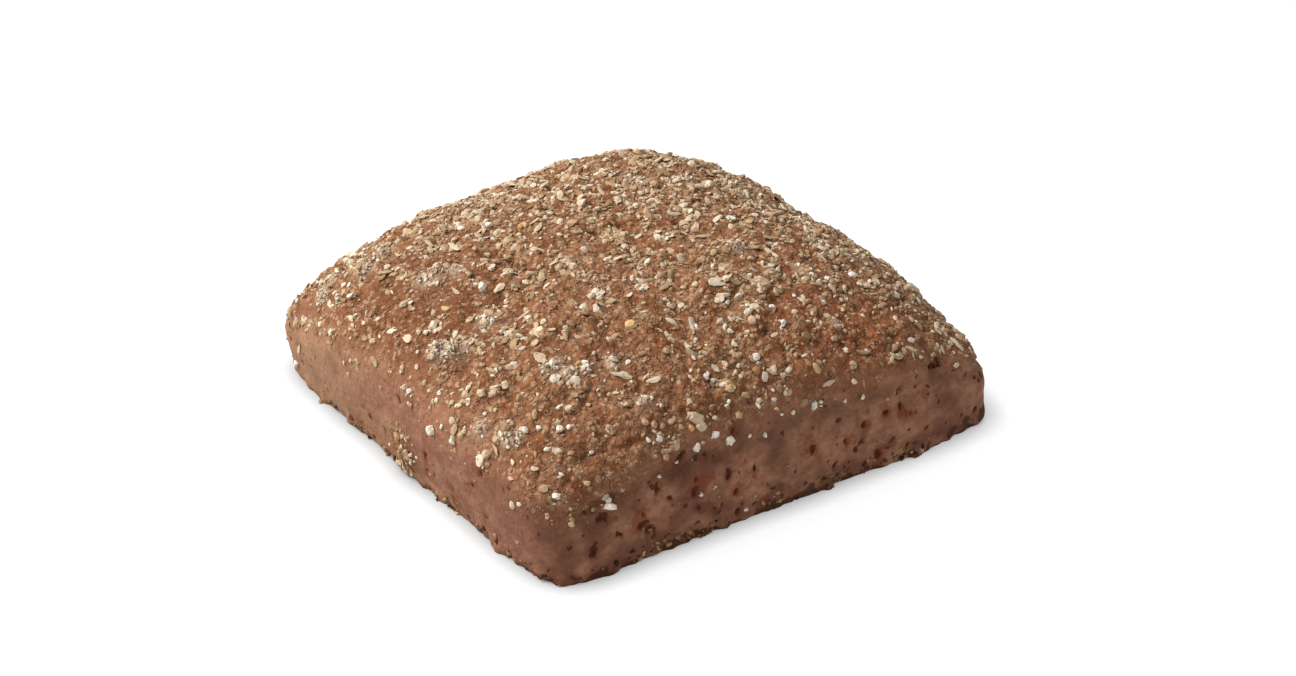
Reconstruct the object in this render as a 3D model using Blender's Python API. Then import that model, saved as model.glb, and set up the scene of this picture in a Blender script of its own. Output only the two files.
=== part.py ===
"""A square-cut rye roll, baked free-standing on a flat tray.

The roll is one solid. A slab of dough is cut on four sides, so its walls stand almost upright, and it
rises in the oven to a low, uneven dome. The dome falls by a different amount to each side and corner,
and turns over a soft shoulder into the walls. The underside is flat, where the roll lay on the tray.

Metres, +Z up. The origin is on the tray, under the middle of the roll's bounding box.
"""

from math import atan2, cos, exp, pi, radians, sin

import bmesh
import bpy
from mathutils import Vector

NAME = "rye_roll"

# Driving dimensions, in metres.
HEIGHT = 0.0315  # top of the dome above the tray

# The four cut sides: +X, +Y, -X, -Y.
SIDE_REACH = (0.0445, 0.0424, 0.0507, 0.0432)  # from the middle of the dough to each side
SIDE_FACING = (radians(2.8), radians(88.0), radians(182.8), radians(268.0))
SIDE_FALL = (0.0150, 0.0069, 0.0083, 0.0074)  # how far the dome falls to each side

# The four corners between them: +X+Y, -X+Y, -X-Y, +X-Y.
CORNER_SHARPNESS = (5.0, 15.5, 12.5, 8.5)  # 2 would be a circle, and a large number a sharp corner
CORNER_FALL = (0.0008, 0.0016, -0.0015, -0.0042)  # how much further the dome falls to each corner

DOME_FLATNESS = 2.35  # 2 is a parabola, and a larger number is flatter on top
WALL_SQUARENESS = 7.4  # how squarely the dome turns into the wall
TUCK = 0.020  # share by which the foot draws in under the wall
TUCK_HEIGHT = 0.0085  # the draw starts below this height
TOP_DRIFT = Vector((-0.0018, 0.0015))  # the dough rose a little to one side

# Ripples in the cut sides: waves round the roll, share of the reach, phase.
SIDE_RIPPLES = ((5, 0.0030, 0.9), (9, 0.0022, 2.4), (14, 0.0016, 4.1))

# Broad swells and hollows in the dome: X, Y, spread and height.
DOME_SWELLS = (
    (-0.018, 0.021, 0.0090, 0.0007),
    (0.020, 0.018, 0.0080, 0.0007),
    (0.004, -0.022, 0.0100, 0.0006),
    (-0.026, -0.012, 0.0085, 0.0006),
    (0.031, -0.017, 0.0070, 0.0006),
    (0.033, 0.003, 0.0040, -0.0005),
    (0.002, 0.004, 0.0070, -0.0006),
    (-0.008, -0.030, 0.0050, -0.0004),
)

SHEET_CELLS = 50  # faces across the sheet that is draped over the roll
SHEET_TOP_SHARE = 0.70  # share of the sheet, from its middle, that lies on the dome

CRUST_COLOUR = (0.190, 0.082, 0.040, 1.0)
CRUST_ROUGHNESS = 0.85


def squared_angle(angle):
    """The direction measured in a roll whose half width and half length are both one."""
    half_length = (SIDE_REACH[0] + SIDE_REACH[2]) / 2
    half_width = (SIDE_REACH[1] + SIDE_REACH[3]) / 2
    return atan2(sin(angle) / half_width, cos(angle) / half_length)


def corner_sharpness(angle):
    """The sharpness of the nearest corners, mixed by the squared cosine of the angle to each."""
    squared = squared_angle(angle)
    weights = [max(0.0, cos(squared - (corner + 0.5) * pi / 2)) ** 2 for corner in range(4)]
    return sum(w * v for w, v in zip(weights, CORNER_SHARPNESS)) / sum(weights)


def outline_reach(angle):
    """How far the roll reaches in a direction: the soft maximum of its four cut sides."""
    sharpness = corner_sharpness(angle)
    sides = zip(SIDE_FACING, SIDE_REACH)
    total = sum(max(0.0, cos(angle - facing) / reach) ** sharpness for facing, reach in sides)
    ripples = sum(share * sin(waves * angle + phase) for waves, share, phase in SIDE_RIPPLES)
    return total ** (-1 / sharpness) * (1 + ripples)


def dome_fall(x, y):
    """How far the dome lies below its top: a share for each side, and one for each corner."""
    side_x = 0 if x > 0 else 2
    side_y = 1 if y > 0 else 3
    corner = (0 if x > 0 else 1) if y > 0 else (3 if x > 0 else 2)
    across = abs(x) / SIDE_REACH[side_x]
    along = abs(y) / SIDE_REACH[side_y]
    fall = SIDE_FALL[side_x] * across**DOME_FLATNESS + SIDE_FALL[side_y] * along**DOME_FLATNESS
    return fall + CORNER_FALL[corner] * (across * along) ** 2


def swell(x, y):
    """The sum of the dome's swells: each a bell-shaped bump."""
    return sum(
        height * exp(-((x - swell_x) ** 2 + (y - swell_y) ** 2) / (2 * spread**2))
        for swell_x, swell_y, spread, height in DOME_SWELLS
    )


def roll_point(a, b):
    """Where the sheet's point (a, b), each from -1 to 1, lies on the roll.

    Squares on the sheet lie as level rings round the roll. The inner ones are the dome and the outer
    ones the wall. Out and up are the two halves of a superellipse, which rounds the shoulder.
    """
    ring = max(abs(a), abs(b))
    angle = atan2(b, a)
    out = min(1.0, ring / SHEET_TOP_SHARE)
    up = min(1.0, (1 - ring) / (1 - SHEET_TOP_SHARE))
    size = (out**WALL_SQUARENESS + up**WALL_SQUARENESS) ** (1 / WALL_SQUARENESS)
    out, up = out / size, up / size

    reach = outline_reach(angle) * out
    x = reach * cos(angle)
    y = reach * sin(angle)
    z = (HEIGHT - dome_fall(x, y) + swell(x, y)) * up
    draw_in = 1 - TUCK * max(0.0, 1 - z / TUCK_HEIGHT) ** 2
    drift = TOP_DRIFT * (z / HEIGHT)
    return Vector((x * draw_in + drift.x, y * draw_in + drift.y, z))


def make_roll_mesh():
    """Drapes a square sheet over the roll, closes it with the flat underside and centres it."""
    bm = bmesh.new()
    bmesh.ops.create_grid(bm, x_segments=SHEET_CELLS, y_segments=SHEET_CELLS, size=1.0)
    for vert in bm.verts:
        vert.co = roll_point(vert.co.x, vert.co.y)
    rim = [edge for edge in bm.edges if edge.is_boundary]
    bmesh.ops.holes_fill(bm, edges=rim, sides=0)
    bmesh.ops.recalc_face_normals(bm, faces=bm.faces)

    xs = [vert.co.x for vert in bm.verts]
    ys = [vert.co.y for vert in bm.verts]
    middle = Vector(((min(xs) + max(xs)) / 2, (min(ys) + max(ys)) / 2, 0.0))
    bmesh.ops.translate(bm, verts=bm.verts, vec=-middle)

    mesh = bpy.data.meshes.new(NAME)
    bm.to_mesh(mesh)
    bm.free()
    mesh.shade_smooth()
    mesh.set_sharp_from_angle(angle=radians(50))
    return mesh


def crust_material():
    """Dull red-brown rye crust."""
    material = bpy.data.materials.new("rye_crust")
    material.use_nodes = True
    shader = material.node_tree.nodes["Principled BSDF"]
    shader.inputs["Base Color"].default_value = CRUST_COLOUR
    shader.inputs["Roughness"].default_value = CRUST_ROUGHNESS
    shader.inputs["Metallic"].default_value = 0.0
    material.diffuse_color = CRUST_COLOUR
    return material


def main():
    for obj in list(bpy.data.objects):
        bpy.data.objects.remove(obj)
    collection = bpy.data.collections.new(NAME)
    bpy.context.scene.collection.children.link(collection)
    mesh = make_roll_mesh()
    mesh.materials.append(crust_material())
    collection.objects.link(bpy.data.objects.new(NAME, mesh))


main()
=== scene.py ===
"""A square-cut rye roll, baked dark and strewn with coarse rye meal.

Metres, +Z up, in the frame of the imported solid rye_roll, whose place the crust takes. The sections
follow the roll as it is made: the dough, its crust, then the meal from fine to coarse. The studio
comes last.
"""

from itertools import product
from math import cos, pi, radians, sin

import bpy
import numpy as np
from mathutils import Matrix


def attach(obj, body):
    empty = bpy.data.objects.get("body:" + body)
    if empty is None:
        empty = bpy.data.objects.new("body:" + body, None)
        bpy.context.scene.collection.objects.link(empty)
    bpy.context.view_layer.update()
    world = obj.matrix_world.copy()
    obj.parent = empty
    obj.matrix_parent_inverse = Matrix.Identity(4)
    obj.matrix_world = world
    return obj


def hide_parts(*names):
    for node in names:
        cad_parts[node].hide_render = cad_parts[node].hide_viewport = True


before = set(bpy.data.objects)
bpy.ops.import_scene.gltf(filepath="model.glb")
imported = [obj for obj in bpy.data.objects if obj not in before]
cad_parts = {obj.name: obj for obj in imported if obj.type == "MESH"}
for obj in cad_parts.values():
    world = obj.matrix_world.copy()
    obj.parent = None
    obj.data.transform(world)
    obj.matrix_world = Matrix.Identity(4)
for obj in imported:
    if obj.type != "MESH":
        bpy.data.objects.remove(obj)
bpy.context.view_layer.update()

# ---------------------------------------------------------------------------------------------------
# The dough. A slab of rye dough is cut on four sides with a knife and set on a flat tray, where it
# rises to a low dome. The cut sides stay almost upright, and the dome falls unevenly to each of them.

HEIGHT = 0.0315  # top of the dome above the tray
SIDE_REACH = np.array((0.0445, 0.0424, 0.0507, 0.0432))  # to the +X, +Y, -X and -Y sides
SIDE_FACING = np.radians((2.8, 88.0, 182.8, 268.0))
SIDE_FALL = np.array((0.0150, 0.0069, 0.0083, 0.0074))  # how far the dome falls to each side
CORNER_SHARPNESS = np.array((5.0, 15.5, 12.5, 8.5))  # of the +X+Y, -X+Y, -X-Y and +X-Y corners
CORNER_FALL = np.array((0.0008, 0.0016, -0.0015, -0.0042))  # how much further it falls to each
DOME_FLATNESS = 2.35  # 2 is a parabola, and a larger number is flatter on top
WALL_SQUARENESS = 7.4  # how squarely the dome turns into the wall
TUCK = 0.020  # share by which the foot draws in under the wall
TUCK_HEIGHT = 0.0085  # the draw starts below this height
TOP_DRIFT = np.array((-0.0018, 0.0015))  # the dough rose a little to one side

# Ripples in the cut sides: waves round the roll, share of the reach, phase.
SIDE_RIPPLES = ((5, 0.0030, 0.9), (9, 0.0022, 2.4), (14, 0.0016, 4.1))

# Broad swells and hollows in the dome: X, Y, spread and height.
DOME_SWELLS = (
    (-0.018, 0.021, 0.0090, 0.0007),
    (0.020, 0.018, 0.0080, 0.0007),
    (0.004, -0.022, 0.0100, 0.0006),
    (-0.026, -0.012, 0.0085, 0.0006),
    (0.031, -0.017, 0.0070, 0.0006),
    (0.033, 0.003, 0.0040, -0.0005),
    (0.002, 0.004, 0.0070, -0.0006),
    (-0.008, -0.030, 0.0050, -0.0004),
)
SHEET_TOP_SHARE = 0.70  # share of the sheet, from its middle, that lies on the dome


def outline_reach(angle):
    """Reach in a direction: the sum of (cos(angle - facing) / side reach) ** n over the sides, ** -1/n.

    The power n is each corner's sharpness, mixed by the squared cosine of the angle to that corner.
    """
    half_length = (SIDE_REACH[0] + SIDE_REACH[2]) / 2
    half_width = (SIDE_REACH[1] + SIDE_REACH[3]) / 2
    squared = np.arctan2(np.sin(angle) / half_width, np.cos(angle) / half_length)
    corners = (np.arange(4) + 0.5) * pi / 2
    weights = np.maximum(0, np.cos(squared[..., None] - corners)) ** 2
    sharpness = (weights @ CORNER_SHARPNESS) / weights.sum(axis=-1)
    sides = np.maximum(0, np.cos(angle[..., None] - SIDE_FACING) / SIDE_REACH)
    soft_maximum = (sides ** sharpness[..., None]).sum(axis=-1) ** (-1 / sharpness)
    ripples = sum(share * np.sin(waves * angle + phase) for waves, share, phase in SIDE_RIPPLES)
    return soft_maximum * (1 + ripples)


def dome_fall(x, y):
    """The dome's fall below its top: side fall * share of reach ** flatness, plus each corner's own."""
    side_x = np.where(x > 0, 0, 2)
    side_y = np.where(y > 0, 1, 3)
    corner = np.where(y > 0, np.where(x > 0, 0, 1), np.where(x > 0, 3, 2))
    across = abs(x) / SIDE_REACH[side_x]
    along = abs(y) / SIDE_REACH[side_y]
    fall = SIDE_FALL[side_x] * across**DOME_FLATNESS + SIDE_FALL[side_y] * along**DOME_FLATNESS
    return fall + CORNER_FALL[corner] * (across * along) ** 2


def sheet_ring(a, b):
    """Which square of the sheet a point lies on: 0 at the middle of the dome, 1 at the foot."""
    return np.maximum(abs(a), abs(b))


def risen_dough(a, b):
    """Points of a sheet draped over the dough, for a and b from -1 to 1.

    Squares of the sheet lie as level rings. Out and up are the two halves of a superellipse: the
    outline's reach times out is the distance from the middle, and the dome's height times up is z.
    """
    ring = sheet_ring(a, b)
    angle = np.arctan2(b, a)
    out = np.minimum(1, ring / SHEET_TOP_SHARE)
    up = np.clip((1 - ring) / (1 - SHEET_TOP_SHARE), 0, 1)
    size = (out**WALL_SQUARENESS + up**WALL_SQUARENESS) ** (1 / WALL_SQUARENESS)
    out, up = out / size, up / size
    reach = outline_reach(angle) * out
    x, y = reach * np.cos(angle), reach * np.sin(angle)
    swell = sum(
        height * np.exp(-((x - swell_x) ** 2 + (y - swell_y) ** 2) / (2 * spread**2))
        for swell_x, swell_y, spread, height in DOME_SWELLS
    )
    z = (HEIGHT - dome_fall(x, y) + swell) * up
    draw_in = 1 - TUCK * np.clip(1 - z / TUCK_HEIGHT, 0, 1) ** 2
    x = x * draw_in + TOP_DRIFT[0] * z / HEIGHT
    y = y * draw_in + TOP_DRIFT[1] * z / HEIGHT
    return np.stack((x, y, z), axis=-1)


SHEET_POINTS = 314  # along each side of the crust's sheet
sheet_line = np.linspace(-1, 1, SHEET_POINTS)
sheet_a, sheet_b = np.meshgrid(sheet_line, sheet_line, indexing="ij")
LEAST_AREA = 1e-15  # so that no normal is divided by nothing


def sheet_slope(grid):
    """Outward normals and areas of a grid of points, from the cross product of its two gradients."""
    across = np.cross(np.gradient(grid, axis=0), np.gradient(grid, axis=1))
    area = np.linalg.norm(across, axis=-1)
    return across / (area[..., None] + LEAST_AREA), area


plain_places = risen_dough(sheet_a, sheet_b)
plain_box = np.array((plain_places.min(axis=(0, 1)), plain_places.max(axis=(0, 1))))
plain_places -= plain_box.mean(axis=0) * (1, 1, 0)
plain_normals, plain_areas = sheet_slope(plain_places)
plain_rings = sheet_ring(sheet_a, sheet_b)

# ---------------------------------------------------------------------------------------------------
# The crust. Baking dries the dough's skin to a dull brown shell: lumpy and finely cracked under the
# meal, smoother on the cut walls, where burst bubbles leave pores, and scorched along the foot. Its
# hollows and cracks get painted shade, and its pores their own darker crust with painted shade.

NOISE_TABLE = 1024  # how many random directions the noise draws on
NOISE_GAIN = 1.7  # brings it to about -1 to 1


def noise(places, size, seed):
    """Gradient noise from about -1 to 1, with bumps of the given size.

    Each corner of a cubic lattice has a random direction. A place takes, from the eight corners round
    it, the dot product of direction and offset, blended by the curve 6 t^5 - 15 t^4 + 10 t^3.
    """
    draw = np.random.default_rng(seed)
    directions = draw.normal(size=(NOISE_TABLE, 3))
    directions /= np.linalg.norm(directions, axis=1, keepdims=True)
    shuffle = draw.permutation(NOISE_TABLE)
    scaled = places / size + draw.uniform(0, 100, 3)
    corner = np.floor(scaled).astype(int)
    offset = scaled - corner
    ease = offset**3 * (offset * (offset * 6 - 15) + 10)
    total = np.zeros(places.shape[:-1])
    for step in product((0, 1), repeat=3):
        cell = corner + step
        index = np.zeros(cell.shape[:-1], dtype=int)
        for axis in range(3):
            index = shuffle[(index + cell[..., axis]) % NOISE_TABLE]
        weight = np.prod(np.where(step, ease, 1 - ease), axis=-1)
        total += weight * np.sum(directions[index] * (offset - step), axis=-1)
    return total * NOISE_GAIN


def unevenness(size, seed):
    """Noise over the plain dough, with bumps of the given size."""
    return noise(plain_places, size, seed)


def ease_between(values, low, high):
    """0 below low and 1 above high, along the curve 3 t^2 - 2 t^3."""
    share = np.clip((values - low) / (high - low), 0, 1)
    return share * share * (3 - 2 * share)


def near_floor(full, none):
    """1 below the height full and 0 above the height none, along the same curve."""
    return ease_between(-plain_places[..., 2], -none, -full)


# What stands out by itself was set from one viewpoint, and is named by where it shows in a
# view of this size. The viewpoint is over half a metre off, above the corner between two cut sides.
VIEW_SIZE = np.array((1296, 676))
FOCAL_PIXELS = 3150  # the lens's length, in the view's own pixels
VIEW_REACH = 0.570
VIEW_TURN = radians(34.44)  # from looking along +Y towards looking along +X
VIEW_TILT = radians(34.5)  # below the level
VIEW_AIM = np.array((0.0057, 0.0042, 0.0066))

ahead = np.array((sin(VIEW_TURN) * cos(VIEW_TILT), cos(VIEW_TURN) * cos(VIEW_TILT), -sin(VIEW_TILT)))
rightward = np.array((cos(VIEW_TURN), -sin(VIEW_TURN), 0.0))
upward = np.cross(rightward, ahead)
viewpoint = VIEW_AIM - ahead * VIEW_REACH


def view_place(places):
    """Where places show, across and down: the view's middle plus their sideways offset over depth."""
    offset = places - viewpoint
    depth = offset @ ahead
    across = VIEW_SIZE[0] / 2 + FOCAL_PIXELS * (offset @ rightward) / depth
    down = VIEW_SIZE[1] / 2 - FOCAL_PIXELS * (offset @ upward) / depth
    return np.stack((across, down), axis=-1)


plain_pixels = view_place(plain_places)
faces_viewer = np.sum(plain_normals * ahead, axis=-1) < 0


def seen_at(across, down):
    """The sheet's nearest point, by its two counts, to what shows at one place in the view."""
    gap = np.hypot(plain_pixels[..., 0] - across, plain_pixels[..., 1] - down)
    return np.unravel_index(np.argmin(np.where(faces_viewer, gap, np.inf)), gap.shape)


def gaps_from(rows):
    """The sheet's distance from what shows at each row's across and down, over the row's radius."""
    places = np.array([plain_places[seen_at(*row[:2])] for row in rows])
    return np.linalg.norm(plain_places[..., None, :] - places, axis=-1) / np.array(rows)[:, 2]


def patches_at(rows):
    """Soft spots, one for each row of across, down, radius and amount: amount * exp(-gap^2)."""
    return np.exp(-(gaps_from(rows) ** 2)) @ np.array(rows)[:, 3]


# Lumps and dents that stand out by themselves: across, down, radius and height.
LUMPS = (
    (838, 240, 0.0050, 0.0009),
    (803, 372, 0.0036, 0.0011),
    (447, 352, 0.0040, 0.0007),
    (719, 286, 0.0040, 0.0005),
    (640, 160, 0.0070, 0.0006),
    (900, 330, 0.0050, 0.0006),
    (911, 401, 0.0022, -0.0008),
    (453, 369, 0.0026, -0.0005),
    (736, 296, 0.0024, -0.0005),
    (820, 392, 0.0030, -0.0006),
    (595, 232, 0.0016, -0.0010),
    (838, 265, 0.0014, -0.0010),
    (848, 268, 0.0014, -0.0010),
    (934, 366, 0.0018, -0.0012),
    (945, 362, 0.0016, -0.0012),
    (904, 405, 0.0022, -0.0006),
    (861, 343, 0.0012, -0.0008),
    (756, 467, 0.0018, -0.0005),
    (712, 383, 0.0016, -0.0008),
    (560, 410, 0.0060, -0.0005),
    (790, 470, 0.0060, 0.0005),
    (345, 330, 0.0050, 0.0004),
    (977, 410, 0.0020, 0.0010),
    (297, 305, 0.0024, 0.0008),
    (405, 234, 0.0120, 0.0010),
    (885, 272, 0.0110, 0.0011),
    (406, 456, 0.0038, 0.0011),
)

# Where the top's crust and meal reach further down the wall: across, down, radius and by how much.
LOW_EDGES = (
    (596, 490, 0.0110, 0.055),
    (560, 480, 0.0080, 0.015),
    (402, 444, 0.0046, 0.220),
    (410, 460, 0.0040, 0.200),
)
RING_WAVER = 0.012  # how far such edges stray from their rings
TOP_ENDS = (0.66, 0.80)  # the dome's crust gives way to the walls' between these rings

low_edge = patches_at(LOW_EDGES)
wavering_rings = plain_rings + RING_WAVER * unevenness(size=0.0060, seed=11)
walls = ease_between(wavering_rings - low_edge, *TOP_ENDS)
top = 1 - walls
foot = near_floor(full=0.0004, none=0.0030)

# The crust's waves: their size, their height on the top and on the walls, and their seed.
WAVES = (
    (0.0150, 0.00050, 0.00050, 1),
    (0.0060, 0.00056, 0.00018, 2),
    (0.0027, 0.00046, 0.00011, 3),
    (0.0014, 0.00018, 0.00006, 4),
)
CRACK_DEPTH = 0.00042
CRACK_NARROWNESS = 9
FOOT_LIP = 0.00025
FOOT_BURRS = 0.00110
FOOT_ROUGHNESS = 0.00040
BURR_UPRIGHTNESS = (1, 1, 0.3)  # burrs are taller than they are wide

relief = patches_at(LUMPS)
for size, top_height, wall_height, seed in WAVES:
    relief += (top_height * top + wall_height * walls) * unevenness(size, seed)
relief -= CRACK_DEPTH * top * (1 - abs(unevenness(size=0.0075, seed=6))) ** CRACK_NARROWNESS
burrs = np.maximum(0, noise(plain_places * BURR_UPRIGHTNESS, size=0.0040, seed=8))
relief += foot * (FOOT_LIP + FOOT_BURRS * burrs)
relief += foot * FOOT_ROUGHNESS * unevenness(size=0.0017, seed=9)

# The side that faces -Y was cut a little under its shoulder: a groove runs there, below a brow.
UNDERCUT_RING = 0.790
UNDERCUT_DEPTH = 0.00090
BROW_RING = 0.745
BROW_HEIGHT = 0.00035
GROOVE_WIDTH = 0.020  # of groove and brow, in rings
FRONT_WALL = (0.030, 0.040)  # metres towards -Y at which that side begins, and at which it is reached

front_wall = ease_between(-plain_places[..., 1], *FRONT_WALL)
past_undercut = plain_rings - UNDERCUT_RING + RING_WAVER * unevenness(size=0.0060, seed=14)
undercut = np.exp(-((past_undercut / GROOVE_WIDTH) ** 2))
undercut *= front_wall * np.clip(0.55 + 0.8 * unevenness(size=0.0110, seed=15), 0, 1)
relief -= UNDERCUT_DEPTH * undercut
relief += BROW_HEIGHT * front_wall * np.exp(-(((plain_rings - BROW_RING) / GROOVE_WIDTH) ** 2))

# Where the walls are stained darker, or left plain: across, down, radius and how much.
STAINED_PATCHES = (
    (900, 430, 0.0200, -0.32),
    (745, 475, 0.0190, 0.22),
    (960, 400, 0.0060, 0.15),
    (598, 520, 0.0120, 0.20),
    (560, 525, 0.0100, 0.40),
    (500, 500, 0.0120, 0.55),
    (415, 440, 0.0140, 0.26),
    (449, 484, 0.0012, 0.60),
    (378, 408, 0.0011, 0.60),
)
# Where the walls stayed a light fawn.
FAWN_PATCHES = ((315, 368, 0.0150, 0.90), (398, 446, 0.0050, 0.80), (345, 412, 0.0030, 0.50))

stains = 0.14 + 1.1 * unevenness(size=0.0065, seed=16) + 0.6 * unevenness(size=0.0024, seed=17)
stains += 0.45 * near_floor(full=0.0010, none=0.0070)
stains = walls * np.clip(front_wall * stains + patches_at(STAINED_PATCHES), 0, 1)
fawn = walls * np.clip(patches_at(FAWN_PATCHES), 0, 1)

# Pinches of flour and fine meal that stand out, bound to the crust in small pale heaps: across and
# down, the spread of each, and how many crumbs it holds.
CLUMPS_SEEN = (
    (439, 352, 0.0013, 32),
    (449, 350, 0.0012, 28),
    (466, 347, 0.0009, 9),
    (549, 369, 0.0008, 15),
    (560, 362, 0.0008, 11),
    (568, 372, 0.0009, 11),
    (585, 369, 0.0008, 16),
    (611, 360, 0.0010, 9),
    (425, 280, 0.0012, 21),
    (437, 276, 0.0012, 18),
    (456, 272, 0.0010, 18),
    (384, 257, 0.0014, 23),
    (367, 272, 0.0014, 23),
    (329, 283, 0.0012, 18),
    (322, 297, 0.0010, 14),
    (476, 203, 0.0016, 23),
    (486, 321, 0.0012, 16),
    (510, 440, 0.0010, 11),
    (481, 430, 0.0010, 12),
    (804, 272, 0.0010, 12),
    (811, 240, 0.0014, 18),
    (862, 261, 0.0014, 18),
    (840, 256, 0.0010, 12),
    (773, 272, 0.0010, 9),
    (738, 247, 0.0012, 14),
    (640, 182, 0.0014, 15),
    (690, 180, 0.0012, 12),
    (735, 185, 0.0014, 14),
    (645, 400, 0.0009, 8),
)
HEAP_HEIGHT = 0.00080  # how far the crust itself rises under a heap
HEAP_SOFTNESS = 2.2  # a larger number spreads the rise wider

flour = np.exp(-(gaps_from(CLUMPS_SEEN) ** 2) / HEAP_SOFTNESS).max(axis=-1)
relief += HEAP_HEIGHT * flour

# Pores: the ones that stand out where they show, and loose ones of all sizes round the walls.
PORES_SEEN = (
    (681, 459), (684, 453), (600, 520), (606, 516),
    (617, 433), (682, 457), (683, 455), (603, 518), (592, 551), (594, 549), (618, 535), (622, 535),
    (640, 526), (645, 524), (669, 500), (696, 493), (697, 480), (700, 508), (715, 509), (727, 473),
    (729, 479), (736, 491), (738, 513), (766, 485), (756, 469), (656, 487), (813, 450), (857, 450),
    (863, 424), (886, 413), (937, 363), (942, 361), (934, 366), (731, 430), (370, 416), (480, 474),
    (427, 455), (428, 470), (650, 530), (862, 440), (893, 440), (878, 455), (846, 441), (903, 407),
)  # fmt: skip
PORE_SIZES = (0.00016, 0.00050)
PORE_SEEN_SIZE = 0.00040
PORE_RINGS = (0.755, 0.985)
PORE_MARGIN = 0.03  # how far past those rings a pore may spread
LOOSE_PORES = 120
PORE_DEPTH = 0.0006
PORE_RAGGEDNESS = 0.00055
PORE_UPRIGHTNESS = (1, 1, 0.7)  # pores are taller than they are wide
NO_PORE = 9.0  # a distance to a pore, over its radius, at which it doesn't show

pore_draw = np.random.default_rng(7)
loose_pores = pore_draw.uniform(-1, 1, (LOOSE_PORES, 2))
loose_pores *= (pore_draw.uniform(*PORE_RINGS, LOOSE_PORES) / sheet_ring(*loose_pores.T))[:, None]
loose_pores = np.rint((loose_pores + 1) / 2 * (SHEET_POINTS - 1)).astype(int)
pore_places = np.array([plain_places[seen_at(*spot)] for spot in PORES_SEEN])
pore_places = np.concatenate((pore_places, plain_places[tuple(loose_pores.T)])) * PORE_UPRIGHTNESS
pore_radii = pore_draw.uniform(0, 1, len(pore_places)) ** 2 * np.ptp(PORE_SIZES) + PORE_SIZES[0]
pore_radii[: len(PORES_SEEN)] += PORE_SEEN_SIZE - PORE_SIZES[0]

ragged = np.stack([unevenness(size=0.0016, seed=30 + axis) for axis in range(3)], axis=-1)
ragged = (plain_places + PORE_RAGGEDNESS * ragged) * PORE_UPRIGHTNESS
pore_gaps = np.full(plain_rings.shape, NO_PORE)
for place, radius in zip(pore_places, pore_radii):
    pore_gaps = np.minimum(pore_gaps, np.linalg.norm(ragged - place, axis=-1) / radius)
pore_gaps = np.where(plain_rings > PORE_RINGS[0] - PORE_MARGIN, pore_gaps, NO_PORE)
relief -= PORE_DEPTH * np.exp(-(pore_gaps**3))

RIM_RING = 0.9999  # past it lies the rim of the underside, which is flat on the tray
crust_places = plain_places + plain_normals * relief[..., None]
crust_places[..., 2] = np.where(plain_rings > RIM_RING, 0, np.maximum(crust_places[..., 2], 0))
crust_normals, _ = sheet_slope(crust_places)

# Where the crust is burnt black at the foot, where the darkest pores are painted black, for their
# burnt crust and painted shade, and where the walls are rusty: across, down, radius and how much.
BURNT_AND_PORE_SHADE_PATCHES = (
    (977, 411, 0.0018, 1.6),
    (965, 420, 0.0014, 0.9),
    (950, 430, 0.0014, 0.9),
    (604, 571, 0.0016, 0.8),
    (575, 577, 0.0014, 0.8),
    (481, 474, 0.0008, 1.1),
    (370, 417, 0.0007, 1.1),
    (600, 520, 0.0006, 1.0),
    (618, 535, 0.0006, 1.0),
    (641, 526, 0.0006, 1.0),
    (682, 456, 0.0008, 1.1),
    (593, 550, 0.0006, 1.0),
)
RUSTY_PATCHES = (
    (698, 490, 0.0017, 2.2),
    (709, 480, 0.0013, 2.2),
    (675, 466, 0.0018, 1.6),
    (663, 457, 0.0014, 1.6),
    (784, 489, 0.0020, 1.8),
    (717, 462, 0.0010, 1.4),
    (705, 505, 0.0014, 1.6),
    (760, 498, 0.0014, 1.4),
    (640, 522, 0.0016, 1.6),
    (868, 424, 0.0012, 1.4),
    (905, 415, 0.0016, 1.2),
    (485, 470, 0.0016, 1.4),
)
RUST_SPREAD = 2.6  # how far rust spreads round a pore, in the pore's radii
PALE_FOOT = (0.036, 0.044)  # metres towards -X between which the foot turns less scorched
PALE_SHARE = 0.45

scorch_height = 0.0007 + 0.0016 * unevenness(size=0.0050, seed=12)
scorch_height += 0.0012 * unevenness(size=0.0018, seed=13)
scorch = near_floor(full=scorch_height - 0.0008, none=scorch_height + 0.0012)
scorch *= 1 - PALE_SHARE * ease_between(-plain_places[..., 0], *PALE_FOOT)
scorch = np.maximum(scorch, np.clip(patches_at(BURNT_AND_PORE_SHADE_PATCHES), 0, 1))
rust = 1.3 * np.exp(-((pore_gaps / RUST_SPREAD) ** 2)) + 0.6 * foot + patches_at(RUSTY_PATCHES)

# Where the crust is toasted darker: across, down, radius and how much.
TOASTED_PATCHES = (
    (398, 298, 0.015, 0.8),
    (300, 300, 0.006, 0.6),
    (440, 296, 0.004, 0.6),
    (585, 465, 0.014, 0.4),
    (630, 181, 0.005, 0.5),
    (640, 350, 0.006, 0.4),
    (829, 354, 0.007, 0.4),
    (876, 312, 0.006, 0.4),
    (440, 318, 0.017, 0.75),
)
# Where it is baked redder.
RUDDY_PATCHES = ((862, 325, 0.0130, 0.75), (820, 345, 0.0080, 0.30), (885, 340, 0.0060, 0.35))

toast = top * np.clip(patches_at(TOASTED_PATCHES) + 0.45 * unevenness(size=0.0045, seed=18), 0, 1)
ruddy = top * np.clip(patches_at(RUDDY_PATCHES), 0, 1)

# Painted shade: the crust is darkened in its hollows and in the groove under the -Y side's brow.
HOLLOW_REACH = 4  # points of the sheet: a hollow lies below the mean of the crust this far away
HOLLOW_DEPTH = 0.00040  # a hollow this deep is dark

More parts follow.
